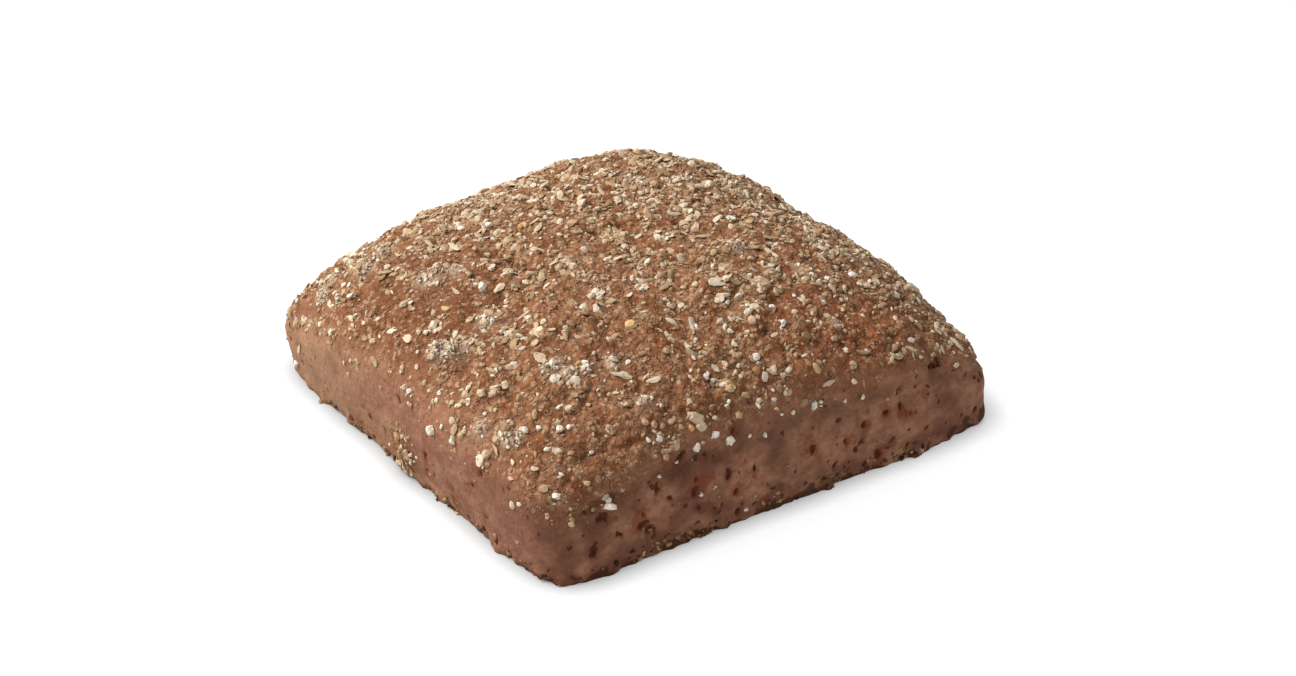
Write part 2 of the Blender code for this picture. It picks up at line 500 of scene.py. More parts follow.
nearby_steps = product((-HOLLOW_REACH, 0, HOLLOW_REACH), repeat=2)
nearby = np.mean([np.roll(relief, steps, (0, 1)) for steps in nearby_steps], axis=0)
painted_hollow_shade = np.clip((nearby - relief) / HOLLOW_DEPTH - 0.25, 0, 1) * (1 - 0.7 * walls)
painted_hollow_shade = np.maximum(painted_hollow_shade, 0.85 * undercut)

# How thickly the meal lies. It was strewn before the sides were cut, so it ends in a ragged line near
# the top of each wall, and it lies in drifts, thickest towards the two sides away from the viewpoint.
MEAL_EDGE_RING = 0.80
MEAL_EDGE_WIDTH = 0.075
MEAL_FADE = (-0.6, 0.4)  # it thins out from here to here, in widths past its edge
MEAL_LEANING = 0.055  # over this distance away from the viewpoint it thickens by 0.30
LEAST_MEAL = 0.08

# Where it lies thick or thin by itself: across, down, radius and by how much.
MEAL_PATCHES = (
    (405, 300, 0.013, -0.26),
    (335, 290, 0.008, -0.10),
    (590, 472, 0.014, -0.16),
    (829, 354, 0.006, -0.20),
    (876, 312, 0.006, -0.15),
    (640, 345, 0.008, -0.08),
    (505, 225, 0.010, 0.12),
    (468, 262, 0.006, 0.12),
    (820, 245, 0.008, 0.15),
    (452, 352, 0.004, 0.20),
    (905, 345, 0.011, -0.20),
    (862, 325, 0.012, -0.14),
    (790, 300, 0.009, 0.10),
    (430, 330, 0.022, -0.10),
)

ragged_edge = 0.022 * unevenness(size=0.0080, seed=21) + 0.014 * unevenness(size=0.0030, seed=22)
past_edge = plain_rings - (MEAL_EDGE_RING - 0.035 * front_wall + ragged_edge + low_edge)
meal_ends = 1 - ease_between(past_edge / MEAL_EDGE_WIDTH, *MEAL_FADE)
away = plain_places[..., 0] * sin(VIEW_TURN) + plain_places[..., 1] * cos(VIEW_TURN)
drifts = 0.13 * unevenness(size=0.0125, seed=23) + 0.24 * unevenness(size=0.0050, seed=24)
drifts += 0.62 * unevenness(size=0.0027, seed=25) + 0.34 * unevenness(size=0.0015, seed=26)
thickness = 0.45 + 0.30 * away / MEAL_LEANING + drifts + patches_at(MEAL_PATCHES)
meal = meal_ends * np.clip(thickness, LEAST_MEAL, 1)


def make_mesh(name, points, *face_groups):
    """A mesh from an array of points and arrays of faces, one array for each number of corners."""
    corners = np.concatenate([group.ravel() for group in face_groups])
    sides = np.concatenate([np.full(len(group), group.shape[1]) for group in face_groups])
    mesh = bpy.data.meshes.new(name)
    mesh.vertices.add(len(points))
    mesh.vertices.foreach_set("co", points.astype(np.float32).ravel())
    mesh.loops.add(len(corners))
    mesh.loops.foreach_set("vertex_index", corners.astype(np.int32))
    mesh.polygons.add(len(sides))
    mesh.polygons.foreach_set("loop_start", (np.cumsum(sides) - sides).astype(np.int32))
    mesh.update(calc_edges=True)
    mesh.validate()
    return mesh


def put_in_place(name, mesh, material):
    """An object at the origin for a mesh that already lies where it belongs, riding on the roll."""
    mesh.materials.append(material)
    piece = bpy.data.objects.new(name, mesh)
    bpy.context.scene.collection.objects.link(piece)
    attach(piece, "root")
    return piece


def paint(mesh, **layers):
    """Number layers on a mesh's points, which its material reads by name."""
    for name, values in layers.items():
        layer = mesh.attributes.new(name, "FLOAT", "POINT")
        layer.data.foreach_set("value", np.ascontiguousarray(values, dtype=np.float32).ravel())


class Shade:
    """A socket of a material's nodes. Sums and products with it add Math nodes to the material."""

    def __init__(self, tree, socket=None):
        self.tree = tree
        self.socket = socket

    def node(self, kind, settings=None, inputs=None, output=0):
        """Adds a node of a kind, with its settings first and then its sockets' values or links."""
        node = self.tree.nodes.new("ShaderNode" + kind)
        for name, value in (settings or {}).items():
            if name == "stops":
                ramp = node.color_ramp.elements
                while len(ramp) < len(value):
                    ramp.new(1.0)
                for stop, (position, colour) in zip(ramp, value):
                    stop.position = position
                    stop.color = (*colour, 1.0)
            else:
                setattr(node, name, value)
        for name, value in (inputs or {}).items():
            if isinstance(value, Shade):
                self.tree.links.new(value.socket, node.inputs[name])
            else:
                node.inputs[name].default_value = value
        return Shade(self.tree, node.outputs[output]) if node.outputs else None

    def maths(self, operation, first, second=0.0):
        """A Math node on one or two numbers."""
        return self.node("Math", {"operation": operation}, {0: first, 1: second})

    def __add__(self, other):
        return self.maths("ADD", self, other)

    def __radd__(self, other):
        return self.maths("ADD", other, self)

    def __sub__(self, other):
        return self.maths("SUBTRACT", self, other)

    def __rsub__(self, other):
        return self.maths("SUBTRACT", other, self)

    def __mul__(self, other):
        return self.maths("MULTIPLY", self, other)

    def __rmul__(self, other):
        return self.maths("MULTIPLY", other, self)

    def scaled(self, factor):
        """This colour or position, times a number."""
        return self.node("VectorMath", {"operation": "SCALE"}, {0: self, "Scale": factor})

    def between(self, low, high):
        """0 below low and 1 above high, along a smooth curve."""
        limits = {"Value": self, "From Min": low, "From Max": high}
        return self.node("MapRange", {"interpolation_type": "SMOOTHSTEP"}, limits)

    def blend(self, *colours):
        """A colour from the first, where this number is 0, to the second, where it is 1."""
        settings = {"data_type": "RGBA", "clamp_factor": True}
        first, second = ((*c, 1.0) if isinstance(c, tuple) else c for c in colours)
        return self.node("Mix", settings, {0: self, 6: first, 7: second}, 2)

    def clouds(self, size, detail, roughness):
        """Noise from 0 to 1 at this position, with blotches of the given size in metres."""
        inputs = {"Vector": self, "Scale": 1 / size, "Detail": detail, "Roughness": roughness}
        return self.node("TexNoise", {}, inputs)

    def cells(self, spacing):
        """The distance to the middle of this position's cell, over the spacing, and its own number."""
        inputs = {"Vector": self, "Scale": 1 / spacing}
        colour = self.node("TexVoronoi", {"feature": "F1"}, inputs, 1)
        gap = self.node("TexVoronoi", {"feature": "F1"}, inputs)
        return gap, self.node("SeparateColor", {}, {0: colour})

    def layer(self, name):
        """The number layer of that name that was painted on the mesh."""
        return self.node("Attribute", {"attribute_name": name}, {}, 2)


DULLNESS = 0.12  # the specular level of dry crust and meal, a quarter of a plain plastic's


def start_material(name):
    """A material with no nodes yet, and the maker that adds them."""
    material = bpy.data.materials.new(name)
    material.use_nodes = True
    material.node_tree.nodes.clear()
    return material, Shade(material.node_tree)


def finish_surface(maker, colour, roughness, bumps, bump_height):
    """A dull, bumpy surface: the bumps' height, in metres, tips the light on it."""
    bump = {"Height": bumps, "Distance": bump_height, "Strength": 1.0}
    normal = maker.node("Bump", {}, bump)
    inputs = {"Base Color": colour, "Roughness": roughness, "Normal": normal}
    shader = maker.node("BsdfPrincipled", {}, {**inputs, "Specular IOR Level": DULLNESS})
    maker.node("OutputMaterial", {}, {"Surface": shader})


# Colours of the crust. A pair is the darker and the lighter end of a blotched one.
TOASTED = ((0.158, 0.053, 0.018), (0.242, 0.098, 0.039))
BROWNED = ((0.205, 0.090, 0.043), (0.287, 0.139, 0.071))
CUT_WALL = ((0.202, 0.084, 0.046), (0.304, 0.151, 0.089))
BAKED_MEAL = ((0.300, 0.160, 0.084), (0.430, 0.292, 0.180))
RUST = (0.185, 0.050, 0.018)
FAWN = (0.286, 0.164, 0.090)
STAIN = (0.102, 0.034, 0.021)
RUDDY = (0.262, 0.080, 0.030)
TOAST = (0.162, 0.058, 0.023)
FLOUR_FILM = (0.355, 0.205, 0.112)
FLOUR_HEAP = (0.510, 0.405, 0.290)
# Painted shade, for the hollows and cracks.
PAINTED_CREVICE_SHADE = (0.085, 0.030, 0.012)
SCORCH_AND_PORE_SHADE = (0.052, 0.019, 0.009)
# Pores and pinpricks: their own darker crust, with painted shade in their pits.
PORE_SHADE = (0.072, 0.018, 0.006)
PINPRICK_SHADE = (0.062, 0.020, 0.010)

WALL_STRETCH = (1.0, 1.0, 1.15)  # the walls' mottles are a little wider than they are high
GRANULE_SIZE = 0.00088  # the crumbly grain of the crust, of meal baked into it
PIT_SPACING = 0.0022  # between the pinprick pores of the walls
FRAYING = 0.0009  # how far the outlines of granules and pinpricks stray
FRAYING_SIZE = 1 / 1300
CRUST_BUMPS = 0.00070


def bare_crust(maker, place, blotches, flecks):
    """The crust with no meal: blotched brown on the dome, mottled, rusty and stained on the walls."""
    toasted = flecks.between(0.35, 0.65).blend(*TOASTED)
    browned = flecks.between(0.30, 0.70).blend(*BROWNED)
    dome = blotches.between(0.42, 0.58).blend(toasted, browned)

    low = place.node("VectorMath", {"operation": "MULTIPLY"}, {0: place, 1: WALL_STRETCH})
    mottle = (low.clouds(0.0012, 2.0, 0.5) + low.clouds(0.0036, 3.0, 0.6) * 2) * (1 / 3)
    wall = mottle.between(0.34, 0.66).blend(*CUT_WALL)
    rusty = place.clouds(0.0030, 3.0, 0.65) + maker.layer("rust") * 0.16
    wall = (rusty.between(0.58, 0.78) * 0.85).blend(wall, RUST)
    wall = (maker.layer("fawn") * 0.7).blend(wall, FAWN)
    wall = (maker.layer("stain") * (0.45 + 0.5 * mottle)).blend(wall, STAIN)

    colour = maker.layer("walls").blend(dome, wall)
    colour = (maker.layer("ruddy") * 0.75).blend(colour, RUDDY)
    return (maker.layer("toast") * 0.75).blend(colour, TOAST)


def crust_finish():
    """Baked rye crust: toasted where bare, floury under the meal, rusty at its pores, with painted
    shade in pores, hollows and cracks.
    """
    material, maker = start_material("rye_crust")
    place = maker.node("TexCoord", {}, {}, "Object")
    blotches = place.clouds(0.0050, 3.0, 0.6)
    flecks = place.clouds(0.0017, 3.0, 0.6)
    specks = place.clouds(0.0010, 2.0, 0.6)
    walls_here = maker.layer("walls")
    meal_here = maker.layer("meal")
    crumbly = 1 - walls_here * 0.70

    # Meal baked into the crust, as granules that each have a tint of their own.
    fray = {"Vector": place, "Scale": 1 / FRAYING_SIZE, "Detail": 1.0}
    fray = place.node("TexNoise", {}, fray, 1).scaled(FRAYING)
    frayed = place.node("VectorMath", {"operation": "ADD"}, {0: place, 1: fray})
    gap, draw = frayed.cells(GRANULE_SIZE)
    granule = (1 - gap).between(0.25, 0.70)
    lightness = 1 + ((granule - 0.5) * 0.22 + (specks - 0.5) * 0.8) * crumbly + (blotches - 0.5) * 0.6
    colour = bare_crust(maker, place, blotches, flecks).scaled(lightness)
    pale = granule * (draw + meal_here * 0.40 - walls_here * 0.40).between(0.54, 0.84)
    colour = (pale * 0.60).blend(colour, draw.blend(*BAKED_MEAL))

    # A film of flour, and the small heaps of it.
    floury = (specks - 0.5) * 1.6 + (flecks - 0.5) * 1.2 + meal_here - 0.22
    colour = (floury.between(0.25, 0.90) * 0.60).blend(colour, FLOUR_FILM)
    colour = (maker.layer("flour") * (0.20 + 0.8 * flecks)).blend(colour, FLOUR_HEAP)

    # Painted shade in the hollows and cracks, the scorched foot, and the pores, dark partly with
    # painted shade.
    veins = place.maths("ABSOLUTE", place.clouds(0.0026, 3.0, 0.6) - 0.5)
    cracks = veins.between(0.030, 0.0) * blotches.between(0.50, 0.60) * crumbly
    colour = (maker.layer("hollow") * 0.50 + cracks * 0.60).blend(colour, PAINTED_CREVICE_SHADE)
    # The scorched foot, and painted shade that blackens the darkest pores.
    burn_and_shade_mask = maker.layer("scorch") + (specks - 0.5) * 1.2
    colour = (burn_and_shade_mask.between(0.35, 0.75) * 0.88).blend(colour, SCORCH_AND_PORE_SHADE)
    # The pores and pinpricks, darkened partly with painted shade in their pits.
    shaded_pore_mask = maker.layer("pore") + (specks - 0.5) * 1.1
    colour = (shaded_pore_mask.between(0.28, 0.68) * 0.94).blend(colour, PORE_SHADE)
    gap, draw = frayed.cells(PIT_SPACING)
    pits = (draw * 0.32 - 0.06 - gap).between(0.0, 0.06) * maker.layer("pitted")
    colour = (pits * 0.85).blend(colour, PINPRICK_SHADE)

    bumps = flecks * (0.4 - walls_here * 0.2) - pits * 0.8
    bumps += (specks * 0.45 + granule * 0.20 - cracks * 0.4) * crumbly
    finish_surface(maker, colour, 0.72 + 0.2 * specks, bumps, CRUST_BUMPS)
    return material


index = np.arange(SHEET_POINTS**2).reshape(SHEET_POINTS, SHEET_POINTS)
quads = np.stack((index[:-1, :-1], index[1:, :-1], index[1:, 1:], index[:-1, 1:]), axis=-1)
rim = np.concatenate((index[:-1, 0], index[-1, :-1], index[:0:-1, -1], index[0, :0:-1]))
middle = np.full_like(rim, SHEET_POINTS**2)
underside = np.stack((middle, np.roll(rim, -1), rim), axis=-1)

crust_points = np.concatenate((crust_places.reshape(-1, 3), [[0, 0, 0]]))
crust_mesh = make_mesh("crust", crust_points, quads.reshape(-1, 4), underside)

# Each layer's last number is the one at the middle of the underside.
paint(
    crust_mesh,
    walls=np.append(walls, 1),
    scorch=np.append(scorch, 0.4),
    hollow=np.append(painted_hollow_shade, 0),
    pore=np.append(np.clip(1.5 - pore_gaps, 0, 1), 0),
    rust=np.append(rust, 0.3),
    stain=np.append(stains, 0.3),
    fawn=np.append(fawn, 0),
    pitted=np.append(walls * (0.35 + 0.65 * front_wall), 0),
    toast=np.append(toast, 0),
    ruddy=np.append(ruddy, 0),
    meal=np.append(meal, 0),
    flour=np.append(flour, 0),
)
crust_mesh.shade_smooth()
crust_mesh.set_sharp_from_angle(angle=radians(75))
crust_piece = put_in_place("crust", crust_mesh, crust_finish())
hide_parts("rye_roll")

# ---------------------------------------------------------------------------------------------------
# The dust of the meal. Milled rye holds flour and specks of half a millimetre or so, which cling to
# the damp dough wherever the meal lies. Each speck is a small sharp-cornered chip with its own tint.


def shell(longitudes, rings):
    """Directions and triangles of a closed shell: rings of points between a pole at each end."""
    down = (np.arange(rings) + 1) / (rings + 1) * pi
    turn = np.arange(longitudes) / longitudes * 2 * pi
    down, turn = np.meshgrid(down, turn, indexing="ij")
    points = np.stack((np.sin(down) * np.cos(turn), np.sin(down) * np.sin(turn), np.cos(down)), axis=-1)
    points = np.concatenate(([[0, 0, 1]], points.reshape(-1, 3), [[0, 0, -1]]))
    here = 1 + np.arange(rings * longitudes).reshape(rings, longitudes)
    beside = np.roll(here, -1, axis=1)
    top = np.zeros(longitudes, dtype=int)
    bottom = np.full(longitudes, len(points) - 1)
    top_cap = np.stack((top, here[0], beside[0]), axis=-1)
    bottom_cap = np.stack((bottom, beside[-1], here[-1]), axis=-1)
    upper = np.stack((here[:-1], here[1:], beside[1:]), axis=-1).reshape(-1, 3)
    lower = np.stack((here[:-1], beside[1:], beside[:-1]), axis=-1).reshape(-1, 3)
    return points, np.concatenate((top_cap, bottom_cap, upper, lower))


def strew(count, cover, seed):
    """Places for grains as the sheet's a and b: its points are drawn by their area times cover."""
    draw = np.random.default_rng(seed)
    weights = (cover * plain_areas).ravel()
    picked = draw.choice(weights.size, count, p=weights / weights.sum())
    spots = np.stack((sheet_a.ravel()[picked], sheet_b.ravel()[picked]), axis=-1)
    spots += draw.uniform(-1, 1, (count, 2)) / (SHEET_POINTS - 1)
    return np.clip(spots, -1, 1)


def on_sheet(grid, spots):
    """A grid's values at a and b: the four points round a spot, weighed by how near they are."""
    place = (spots + 1) / 2 * (SHEET_POINTS - 1)
    corner = np.clip(np.floor(place).astype(int), 0, SHEET_POINTS - 2)
    i, j = corner.T
    u, v = (place - corner).T[..., None]
    low = grid[i, j] * (1 - u) + grid[i + 1, j] * u
    high = grid[i, j + 1] * (1 - u) + grid[i + 1, j + 1] * u
    return low * (1 - v) + high * v


FARTHEST_REACH = 1.15  # of half a grain's size
LEAST_SLANT = 0.1  # below it a plane is taken to pass the direction by


def broken(directions, draw, planes, depths):
    """How far a broken grain reaches in each direction: to the nearest of several random planes.

    A plane at depth d with normal n is reached at d / (n . direction). The planes stand steeply, so
    that they cut the grain's outline more than its top.
    """
    normals = draw.normal(size=(len(directions), planes, 3)) * (1, 1, 0.6)
    normals /= np.linalg.norm(normals, axis=-1, keepdims=True)
    depth = draw.uniform(*depths, (len(directions), 1, planes))
    reach = depth / np.maximum(directions @ np.swapaxes(normals, 1, 2), LEAST_SLANT)
    return np.minimum(FARTHEST_REACH, reach.min(axis=-1))


SHORTNESS = 1.7  # 1 would be as many long grains as short ones


def mixed_sizes(count, length, width, thickness, seed):
    """Lengths drawn between two limits, more of them short, and widths and thicknesses as shares."""
    draw = np.random.default_rng(seed)
    lengths = length[0] + np.ptp(length) * draw.uniform(size=(count, 1)) ** SHORTNESS
    widths = draw.uniform(*width, (count, 1))
    thicknesses = draw.uniform(*thickness, (count, 1))
    return lengths * np.concatenate((np.ones((count, 1)), widths, thicknesses), axis=1)


BROKEN_FACES = 7
BROKEN_DEPTHS = (0.38, 0.90)  # of those faces, as shares of half a grain's size
CURLS = (-0.4, 1.0)  # a grain bends down to up by these shares of its kind's bend
SEEN_TILT = 0.25  # a grain that stands out tilts by this share of the others' tilt
SEEN_TINT = 0.6  # and takes its tint from here to 1
LOWEST_POINT = 0.0001


def grains(
    name, spots, sizes, form, seed, tilt=0.25, sink=0.45, bend=0.0, lift=0.0, seen=0, headings=()
):
    """Many loose grains as one mesh, each a broken shell of its own length, width and thickness.

    A grain's points are directions times reach times half its sizes, bent up by bend * x^2 / length,
    turned at random round the crust's normal, tilted, and sunk by a share of its thickness. The grains
    seen come first, lie flat and pale, and may have headings. The layer tint has a number for each.
    """
    draw = np.random.default_rng(seed)
    directions, faces = form
    count = len(spots)
    places = on_sheet(crust_places, spots)
    normals = on_sheet(crust_normals, spots)

    tilts = np.where(np.arange(count) < seen, SEEN_TILT * tilt, tilt)[:, None]
    lean = normals + draw.normal(size=(count, 3)) * tilts
    lean /= np.linalg.norm(lean, axis=1, keepdims=True)
    heading = draw.normal(size=(count, 3))
    if len(headings):
        heading[: len(headings)] = headings
    across = np.cross(lean, heading)
    across /= np.linalg.norm(across, axis=1, keepdims=True)
    axes = np.stack((np.cross(across, lean), across, lean), axis=1)

    units = np.broadcast_to(directions, (count, *directions.shape))
    reach = broken(units, draw, BROKEN_FACES, BROKEN_DEPTHS)
    local = units * reach[..., None] * sizes[:, None, :] / 2
    curl = bend * draw.uniform(*CURLS, count) / sizes[:, 0]
    local[..., 2] += curl[:, None] * local[..., 0] ** 2
    height = sizes[:, 2] * (0.5 - sink) + lift
    points = local @ axes + (places + normals * height[:, None])[:, None, :]
    points[..., 2] = np.maximum(points[..., 2], LOWEST_POINT)

    offsets = np.arange(count)[:, None, None] * len(directions)
    mesh = make_mesh(name, points.reshape(-1, 3), (faces + offsets).reshape(-1, 3))
    mesh.shade_flat()
    tints = draw.uniform(size=count)
    tints[:seen] = SEEN_TINT + (1 - SEEN_TINT) * tints[:seen]
    paint(mesh, tint=np.repeat(tints, len(directions)))
    return mesh


def grain_finish(name, tints):
    """Dry ground grain: each piece has one of the tints, and is a little cloudy and rough."""
    material, maker = start_material(name)
    place = maker.node("TexCoord", {}, {}, "Object")
    clouds = place.clouds(0.0005, 2.0, 0.6)
    tint = maker.node("ValToRGB", {"stops": tints}, {"Fac": maker.layer("tint")})
    browner = tuple(0.8 * part for part in tints[0][1])
    colour = (clouds.between(0.50, 0.75) * 0.35).blend(tint, browner)
    finish_surface(maker, colour, 0.78, clouds, 0.00010)
    return material


def add_meal(name, tints, *facts, **manner):
    """A kind of meal as a piece of its own, with a finish of its own."""
    mesh = grains(name, *facts, **manner)
    put_in_place(name, mesh, grain_finish(name, tints))


DUST_COUNT = 7500
dust_spots = strew(DUST_COUNT, 0.3 * meal + 0.35 * meal_ends + 0.006, 31)
dust_sizes = mixed_sizes(DUST_COUNT, (0.00036, 0.00085), (0.6, 1.0), (0.4, 0.7), 32)
DUST_TINTS = (
    (0.00, (0.235, 0.115, 0.054)),
    (0.60, (0.300, 0.168, 0.088)),
    (1.00, (0.400, 0.262, 0.158)),
)
add_meal("meal_dust", DUST_TINTS, dust_spots, dust_sizes, shell(4, 1), 33, tilt=0.4)

# ---------------------------------------------------------------------------------------------------
# The fine meal. These are chips of half a millimetre to a millimetre and a half, more of them short,
# and they make up most of the pale covering of the dome.

FINE_COUNT = 5200
fine_spots = strew(FINE_COUNT, np.minimum(meal, 0.7) ** 1.5 + 0.003, 41)
fine_sizes = mixed_sizes(FINE_COUNT, (0.00065, 0.00160), (0.60, 0.95), (0.40, 0.70), 42)
FINE_TINTS = (
    (0.00, (0.260, 0.138, 0.065)),
    (0.35, (0.340, 0.203, 0.108)),
    (0.75, (0.440, 0.305, 0.184)),
    (1.00, (0.580, 0.465, 0.330)),
)
add_meal("fine_meal", FINE_TINTS, fine_spots, fine_sizes, shell(5, 2), 43, tilt=0.35)

# ---------------------------------------------------------------------------------------------------
# The rye grits. These are the cracked kernels of the coarse meal, one to two millimetres long: buff
# and tan pieces with broken faces, which lie on the crust singly and in drifts.


def spots_seen(rows):
    """The sheet's a and b at what shows in the view at the first two numbers of each row."""
    return np.array([seen_at(*row[:2]) for row in rows]) / (SHEET_POINTS - 1) * 2 - 1


def seen_sizes(rows, width, thickness):
    """Lengths from the third number of each row, with widths and thicknesses as shares of them."""
    return np.array(rows)[:, 2:3] * (1, width, thickness)


# The grits that stand out: across, down and length.
GRITS_SEEN = (
    (698, 416, 0.0036), (702, 425, 0.0028), (727, 281, 0.0026),
    (682, 304, 0.0019), (734, 345, 0.0020), (504, 386, 0.0021), (459, 405, 0.0018), (419, 368, 0.0017),
    (613, 359, 0.0019), (645, 399, 0.0016), (484, 320, 0.0018), (513, 461, 0.0016), (542, 274, 0.0018),
    (505, 305, 0.0017), (827, 317, 0.0018), (853, 382, 0.0014), (364, 259, 0.0014), (768, 213, 0.0015),
    (628, 362, 0.0014), (804, 356, 0.0014), (793, 314, 0.0015), (717, 224, 0.0015), (346, 286, 0.0015),
    (451, 392, 0.0014), (494, 376, 0.0012), (572, 257, 0.0011), (572, 264, 0.0011), (559, 235, 0.0012),
)  # fmt: skip
GRIT_COUNT = 2700
grit_spots = np.concatenate((spots_seen(GRITS_SEEN), strew(GRIT_COUNT, meal**2, 51)))
grit_sizes = mixed_sizes(GRIT_COUNT, (0.0010, 0.0024), (0.60, 0.95), (0.32, 0.60), 52)
grit_sizes = np.concatenate((seen_sizes(GRITS_SEEN, 0.8, 0.45), grit_sizes))
GRIT_TINTS = (
    (0.00, (0.270, 0.155, 0.080)),
    (0.35, (0.400, 0.262, 0.148)),
    (0.70, (0.520, 0.395, 0.262)),
    (1.00, (0.660, 0.570, 0.450)),
)
add_meal("rye_grits", GRIT_TINTS, grit_spots, grit_sizes, shell(8, 3), 53, seen=len(GRITS_SEEN))

# ---------------------------------------------------------------------------------------------------
# The bran flakes. The husk of the kernels is rolled off in thin curled flakes, one and a half to four
# millimetres long. They lie flat or stand up a little at one end, and throw small shadows.

# The flakes that stand out: both ends of each one's length, across and down, and its width.
FLAKES_SEEN = (
    (705, 287, 726, 281, 0.0031),
    (719, 284, 735, 279, 0.0016),
    (492, 235, 507, 226, 0.0015),
    (524, 236, 537, 220, 0.0011),
    (456, 220, 472, 219, 0.0010),
    (459, 206, 473, 198, 0.0022),
    (492, 295, 506, 281, 0.0024),
    (542, 287, 550, 281, 0.0010),
    (516, 318, 530, 311, 0.0009),
    (452, 289, 460, 296, 0.0009),
    (447, 246, 462, 254, 0.0012),
    (407, 272, 405, 282, 0.0009),
    (425, 243, 441, 249, 0.0009),
    (327, 300, 331, 314, 0.0010),
    (301, 343, 299, 352, 0.0010),
    (598, 185, 607, 194, 0.0010),
    (664, 213, 682, 214, 0.0011),
    (647, 170, 668, 164, 0.0018),
    (697, 236, 713, 232, 0.0012),
    (745, 268, 759, 272, 0.0013),
    (739, 277, 756, 283, 0.0011),
    (734, 196, 754, 191, 0.0013),
    (747, 203, 755, 211, 0.0009),
    (679, 227, 686, 234, 0.0009),
    (664, 319, 680, 322, 0.0011),
    (665, 328, 675, 343, 0.0010),
    (611, 376, 631, 374, 0.0013),
    (646, 383, 662, 378, 0.0011),
    (595, 303, 608, 305, 0.0010),
    (627, 298, 634, 293, 0.0009),
    (816, 386, 836, 379, 0.0010),
    (872, 304, 888, 304, 0.0010),
    (925, 302, 930, 320, 0.0011),
    (950, 338, 967, 354, 0.0012),
    (783, 283, 777, 290, 0.0009),
    (528, 468, 540, 470, 0.0010),
    (481, 345, 479, 354, 0.0009),
)
LONGEST_FLAKE = 0.0040
FLAKE_FRAYS = (1.2, 1.1)  # for what a flake loses in length and width to its broken outline
FLAKE_THINNESS = 0.12
flake_ends = np.array([(seen_at(*row[:2]), seen_at(*row[2:4])) for row in FLAKES_SEEN])
flake_from, flake_to = (plain_places[tuple(ends.T)] for ends in np.swapaxes(flake_ends, 0, 1))
flake_seen_spots = flake_ends.mean(axis=1) / (SHEET_POINTS - 1) * 2 - 1
flake_seen_lengths = FLAKE_FRAYS[0] * np.linalg.norm(flake_to - flake_from, axis=1)
flake_seen_sizes = np.minimum(flake_seen_lengths, LONGEST_FLAKE)[:, None] * (1, 0, FLAKE_THINNESS)
flake_seen_sizes[:, 1] = FLAKE_FRAYS[1] * np.array(FLAKES_SEEN)[:, 4]

FLAKE_COUNT = 700
flake_spots = np.concatenate((flake_seen_spots, strew(FLAKE_COUNT, meal**2, 61)))
flake_sizes = mixed_sizes(FLAKE_COUNT, (0.0014, 0.0034), (0.36, 0.70), (0.12, 0.20), 62)
flake_sizes = np.concatenate((flake_seen_sizes, flake_sizes))
FLAKE_TINTS = (
    (0.00, (0.250, 0.150, 0.080)),
    (0.35, (0.400, 0.275, 0.160)),
    (0.80, (0.520, 0.400, 0.265)),
    (1.00, (0.620, 0.520, 0.390)),
)
add_meal(
    "bran_flakes", FLAKE_TINTS, flake_spots, flake_sizes, shell(9, 2), 63,
    tilt=0.16, sink=0.2, bend=0.5, seen=len(FLAKES_SEEN), headings=flake_to - flake_from,
)  # fmt: skip

# ---------------------------------------------------------------------------------------------------
# The white grits. They are bits of the kernels' bare starchy inside, almost white, and the brightest
# thing on the roll. Some are two bits that stick together.

# The white grits that stand out: across, down and length.
WHITE_SEEN = (
    (412, 305, 0.0013), (435, 285, 0.0012), (478, 289, 0.0021), (478, 214, 0.0018), (483, 227, 0.0016),
    (504, 334, 0.0016), (596, 211, 0.0013), (800, 220, 0.0016), (734, 219, 0.0019), (618, 193, 0.0009),
    (856, 276, 0.0020), (827, 279, 0.0013), (773, 306, 0.0014), (779, 323, 0.0014), (823, 303, 0.0012),
    (795, 298, 0.0011), (754, 356, 0.0015), (705, 374, 0.0016), (716, 378, 0.0011), (696, 341, 0.0009),
    (690, 345, 0.0011), (844, 350, 0.0011), (894, 355, 0.0010), (909, 343, 0.0015), (844, 400, 0.0011),
    (864, 399, 0.0012), (813, 407, 0.0018), (822, 403, 0.0012), (795, 414, 0.0012), (782, 414, 0.0009),
    (696, 444, 0.0020), (716, 435, 0.0015), (712, 434, 0.0010), (650, 439, 0.0015), (657, 439, 0.0014),
    (701, 494, 0.0008), (714, 487, 0.0007), (677, 465, 0.0008), (660, 479, 0.0008), (745, 507, 0.0009),
    (765, 436, 0.0011), (751, 437, 0.0009), (730, 441, 0.0022), (558, 499, 0.0018), (606, 505, 0.0026),
    (431, 431, 0.0022), (454, 440, 0.0015), (480, 455, 0.0011), (556, 431, 0.0017), (538, 427, 0.0012),
    (562, 405, 0.0013), (572, 425, 0.0011), (525, 431, 0.0015), (412, 391, 0.0013), (297, 364, 0.0018),
    (584, 369, 0.0016), (550, 371, 0.0018), (728, 401, 0.0009), (725, 404, 0.0009), (547, 450, 0.0011),
    (562, 476, 0.0011), (726, 300, 0.0010), (639, 290, 0.0012), (443, 425, 0.0010), (440, 390, 0.0011),
)  # fmt: skip
WHITE_BITS = (1.05, 0.55)  # one that stands out is two bits, of these shares of its length
WHITE_SCATTER = 0.22  # how far its bits lie from its place, in its lengths
SHEET_UNIT = 0.064  # the length of a unit of the sheet, where it lies on the dome
WHITE_COUNT = 110
white_bits = np.repeat(spots_seen(WHITE_SEEN), len(WHITE_BITS), axis=0)
white_lengths = np.repeat(np.array(WHITE_SEEN)[:, 2:3], len(WHITE_BITS), axis=0)
white_steps = np.random.default_rng(70).normal(size=white_bits.shape)
white_bits += white_steps * WHITE_SCATTER * white_lengths / SHEET_UNIT
white_spots = np.concatenate((white_bits, strew(WHITE_COUNT, meal, 71)))
